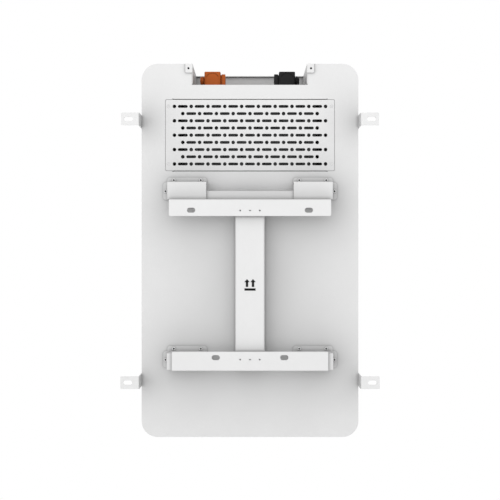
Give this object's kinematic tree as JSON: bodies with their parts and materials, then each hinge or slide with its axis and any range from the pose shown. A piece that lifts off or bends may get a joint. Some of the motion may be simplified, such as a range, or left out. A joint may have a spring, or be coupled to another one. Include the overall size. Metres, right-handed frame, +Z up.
{
  "type": "wall battery unit",
  "caption": "Wall-hung home battery: a white sheet-metal cabinet on a welded rail bracket, with a vent panel, side ears and a top recess with swivelling power plugs.",
  "frame": {"origin": "midpoint between the two upper wall slots, on the wall's surface", "axes": "+X across the unit, towards the positive terminal; +Y into the wall; +Z up"},
  "size_m": [0.4898, 0.2088, 0.7232],
  "materials": {
    "white_powder_coat": "fine satin powder coat",
    "zinc_screw": "bright zinc",
    "white_screw": "painted over",
    "galvanised_sheet": "galvanised",
    "black_print": "printed ink",
    "orange_nylon": "moulded nylon",
    "black_nylon": "moulded nylon",
    "plated_copper": "silver plated",
    "nickel_strip": "nickel plated",
    "aluminium": "as extruded",
    "cell_wrap": "blue film over the can",
    "foam_rubber": "closed-cell foam",
    "circuit_board": "solder mask",
    "frosted_lens": "frosted",
    "button_plastic": "satin",
    "fuse_ceramic": "glazed",
    "orange_cable": "silicone sheath",
    "black_cable": "silicone sheath"
  },
  "bodies": {
    "wall_bracket": {"upper_wall_rail": "white_powder_coat", "lower_wall_rail": "white_powder_coat", "rail_spine": "white_powder_coat", "orientation_mark": "black_print"},
    "power_button": {"power_button": "button_plastic"},
    "collar_positive": {"lock_collar_positive": "orange_nylon"},
    "collar_negative": {"lock_collar_negative": "black_nylon"},
    "plug_positive": {"plug_elbow_positive": "orange_nylon", "plug_contact_positive": "plated_copper"},
    "plug_negative": {"plug_elbow_negative": "black_nylon", "plug_contact_negative": "plated_copper"},
    "plug_button_positive": {"plug_button_positive": "orange_nylon"},
    "plug_button_negative": {"plug_button_negative": "black_nylon"},
    "nut_positive": {"cable_nut_positive": "orange_nylon"},
    "nut_negative": {"cable_nut_negative": "black_nylon"},
    "battery_unit": {"rear_case": "white_powder_coat", "front_cover": "white_powder_coat", "vent_grille": "white_powder_coat", "terminal_tray": "white_powder_coat", "hanger_left": "white_powder_coat", "hanger_right": "white_powder_coat", "standoff_left": "white_powder_coat", "standoff_right": "white_powder_coat", "ear_top_left": "white_powder_coat", "ear_top_right": "white_powder_coat", "ear_bottom_left": "white_powder_coat", "ear_bottom_right": "white_powder_coat", "ear_screws": "zinc_screw", "cover_screws": "zinc_screw", "receptacle_screws": "zinc_screw", "earth_stud": "zinc_screw", "grille_screws": "white_screw", "bracket_screws": "white_screw", "cover_gasket": "foam_rubber", "indicator_lens": "frosted_lens", "indicator_board": "circuit_board", "receptacle_positive": "orange_nylon", "pin_positive": "plated_copper", "receptacle_negative": "black_nylon", "pin_negative": "plated_copper", "signal_ports": "black_nylon", "cell_tray": "galvanised_sheet", "module_straps": "galvanised_sheet", "cell_pair_1": "cell_wrap", "cell_pair_2": "cell_wrap", "cell_pair_3": "cell_wrap", "cell_pair_4": "cell_wrap", "cell_pair_5": "cell_wrap", "cell_pair_6": "cell_wrap", "cell_pair_7": "cell_wrap", "cell_pair_8": "cell_wrap", "end_plate_top": "aluminium", "end_plate_bottom": "aluminium", "cell_busbars": "nickel_strip", "sense_board": "circuit_board", "bms_board": "circuit_board", "bms_heat_sink": "aluminium", "main_fuse": "fuse_ceramic", "cable_positive": "orange_cable", "cable_negative": "black_cable"}
  },
  "joints": [
    {"name": "unit_lift", "type": "slide", "parent": "wall_bracket", "child": "battery_unit", "axis": [0, 0, 1], "range_m": [0, 0.04]},
    {"name": "power_button_press", "type": "slide", "parent": "battery_unit", "child": "power_button", "axis": [0, 1, 0], "range_m": [0, 0.0015], "stiffness_N_per_m": 400},
    {"name": "collar_pull_positive", "type": "slide", "parent": "battery_unit", "child": "collar_positive", "axis": [0, 0, 1], "range_m": [0, 0.03]},
    {"name": "plug_swivel_positive", "type": "hinge", "parent": "collar_positive", "child": "plug_positive", "pos_m": [0.0742, -0.112, 0.25], "axis": [0, 0, 1], "continuous": true},
    {"name": "plug_button_press_positive", "type": "slide", "parent": "plug_positive", "child": "plug_button_positive", "axis": [1, 0, 0], "range_m": [0, 0.0015], "stiffness_N_per_m": 400},
    {"name": "nut_turn_positive", "type": "hinge", "parent": "plug_positive", "child": "nut_positive", "pos_m": [0.0947, -0.112, 0.261], "axis": [1, 0, 0], "continuous": true},
    {"name": "collar_pull_negative", "type": "slide", "parent": "battery_unit", "child": "collar_negative", "axis": [0, 0, 1], "range_m": [0, 0.03]},
    {"name": "plug_swivel_negative", "type": "hinge", "parent": "collar_negative", "child": "plug_negative", "pos_m": [-0.0732, -0.112, 0.25], "axis": [0, 0, 1], "continuous": true},
    {"name": "plug_button_press_negative", "type": "slide", "parent": "plug_negative", "child": "plug_button_negative", "axis": [-1, 0, 0], "range_m": [0, 0.0015], "stiffness_N_per_m": 400},
    {"name": "nut_turn_negative", "type": "hinge", "parent": "plug_negative", "child": "nut_negative", "pos_m": [-0.0937, -0.112, 0.261], "axis": [-1, 0, 0], "continuous": true}
  ]
}
